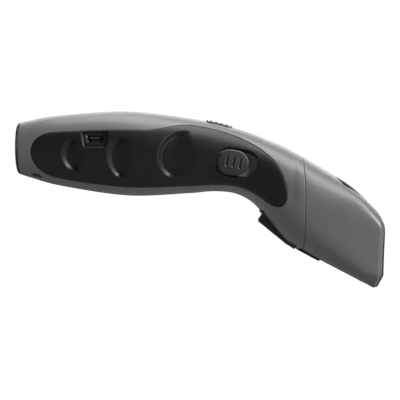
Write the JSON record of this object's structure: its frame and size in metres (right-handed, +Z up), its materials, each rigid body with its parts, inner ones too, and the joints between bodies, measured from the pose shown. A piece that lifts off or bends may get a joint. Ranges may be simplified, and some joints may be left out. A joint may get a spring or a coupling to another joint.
{
  "type": "handheld optical code reader",
  "caption": "Cordless handheld optical code reader: curved two-part grip with rubber panels, finger trigger under the neck, side slide switch and an angled scanning nose.",
  "frame": {"origin": "centre of the bounding box on the surface the reader stands on", "axes": "+X from the tail towards the scanning window, +Z up, -Y the right-hand side with the slide switch and charging socket"},
  "size_m": [0.1742, 0.0546, 0.0498],
  "materials": {
    "housing_plastic": "satin gunmetal grey moulded plastic with a fine grain",
    "grip_rubber": "satin black soft-touch rubber",
    "trim_plastic": "satin black moulded plastic",
    "window": "clear polished, dark red tint",
    "steel": "plated",
    "circuit_board": "green solder mask",
    "chip": "matte moulded epoxy",
    "cell_sleeve": "shrink sleeve",
    "contact_gold": "plated",
    "lens": "coated lens glass",
    "led": "clear epoxy dome",
    "flex": "amber film"
  },
  "bodies": {
    "root": {"housing_left": "housing_plastic", "housing_right": "housing_plastic", "nose_housing": "housing_plastic", "nose_vent_insert": "trim_plastic", "window_frame": "trim_plastic", "window_lens": "window", "window_gasket": "grip_rubber", "grip_left": "grip_rubber", "grip_right": "grip_rubber", "tail_cap": "trim_plastic", "usb_port": "steel", "usb_tongue": "chip", "power_switch": "steel", "switch_board": "circuit_board", "button_switch": "steel", "trigger_bezel": "trim_plastic", "trigger_pin": "steel", "trigger_spring": "steel", "trigger_switch": "steel", "main_board": "circuit_board", "board_chips": "chip", "wireless_module": "steel", "beeper": "chip", "battery_cell": "cell_sleeve", "battery_cradle": "chip", "battery_contacts": "contact_gold", "optics_chassis": "chip", "lens_barrel": "trim_plastic", "lens_glass": "lens", "sensor_board": "circuit_board", "led_board": "circuit_board", "aiming_leds": "led", "optics_cable": "flex", "seam_cover": "trim_plastic", "housing_screws": "steel", "nose_screws": "steel", "chassis_screws": "steel"},
    "power_slider_body": {"power_slider": "trim_plastic", "switch_lever": "chip"},
    "top_button_body": {"top_button": "trim_plastic", "button_plunger": "chip"},
    "trigger_body": {"trigger": "trim_plastic"}
  },
  "joints": [
    {"name": "power_slide", "type": "slide", "parent": "root", "child": "power_slider_body", "axis": [0.9931, 0, 0.1177], "range_m": [0, 0.0034]},
    {"name": "top_button_press", "type": "slide", "parent": "root", "child": "top_button_body", "axis": [0.305, 0, -0.9524], "range_m": [0, 0.0006], "stiffness_N_per_m": 500, "springref_m": -0.0008},
    {"name": "trigger_pull", "type": "hinge", "parent": "root", "child": "trigger_body", "pos_m": [0.04596, 0, 0.00878], "axis": [0, 1, 0], "range_deg": [0, 6], "stiffness_Nm_per_rad": 0.15, "springref_deg": -5.73}
  ]
}
